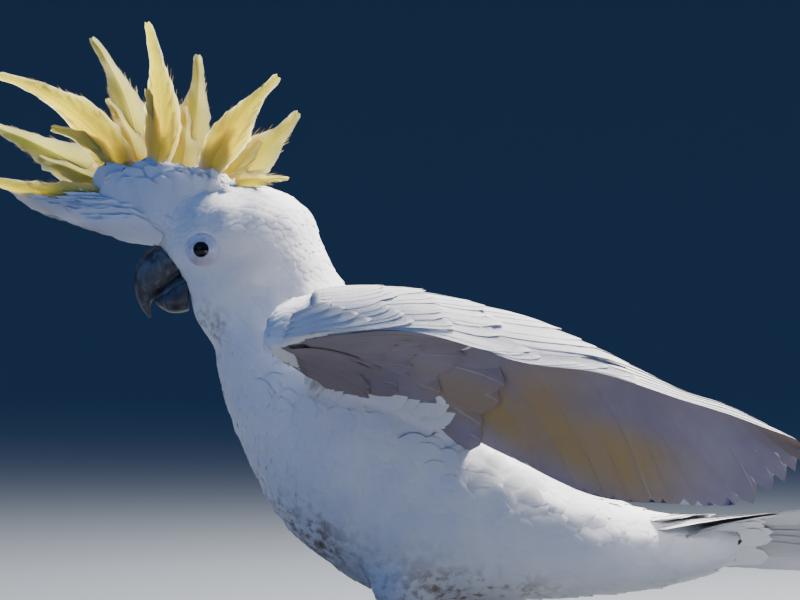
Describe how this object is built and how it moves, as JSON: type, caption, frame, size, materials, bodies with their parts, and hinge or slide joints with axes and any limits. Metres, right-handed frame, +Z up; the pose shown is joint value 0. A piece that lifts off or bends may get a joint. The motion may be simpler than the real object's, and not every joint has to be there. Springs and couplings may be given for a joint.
{
  "type": "sulphur-crested cockatoo",
  "caption": "Still, life-size display model of a white cockatoo standing on both feet, leaning forward, crest fanned and both wings lifted half open.",
  "frame": {"origin": "middle of the bottom of the whole model's bounding box, on the floor that the feet stand on", "axes": "+Z up, the bird faces -X, its left side is towards -Y, metres"},
  "size_m": [0.5966, 0.2756, 0.4178],
  "materials": {
    "plumage": "soft overlapping white feathers",
    "crest_yellow": "soft pale sulphur-yellow feathers",
    "bill_horn": "dark grey horn with a dusty sheen",
    "eye_dark": "glossy near-black eye",
    "leg_scale": "dark grey scaled skin",
    "claw_horn": "near-black horn"
  },
  "bodies": {
    "root": {"bill_lower": "bill_horn", "bill_upper": "bill_horn", "claw_left_1": "claw_horn", "claw_left_2": "claw_horn", "claw_left_3": "claw_horn", "claw_left_4": "claw_horn", "claw_right_1": "claw_horn", "claw_right_2": "claw_horn", "claw_right_3": "claw_horn", "claw_right_4": "claw_horn", "crest_1": "crest_yellow", "crest_2": "crest_yellow", "crest_3": "crest_yellow", "crest_4": "crest_yellow", "crest_5": "crest_yellow", "crest_6": "crest_yellow", "crest_7": "crest_yellow", "crest_8": "crest_yellow", "crest_9": "crest_yellow", "eye_left": "eye_dark", "eye_right": "eye_dark", "foot_left": "leg_scale", "foot_right": "leg_scale", "head": "plumage", "neck": "plumage", "tail": "plumage", "tarsus_left": "leg_scale", "tarsus_right": "leg_scale", "thigh_left": "plumage", "thigh_right": "plumage", "trunk": "plumage", "wing_left_arm": "plumage", "wing_left_primaries": "plumage", "wing_left_secondaries": "plumage", "wing_right_arm": "plumage", "wing_right_primaries": "plumage", "wing_right_secondaries": "plumage"}
  },
  "joints": []
}
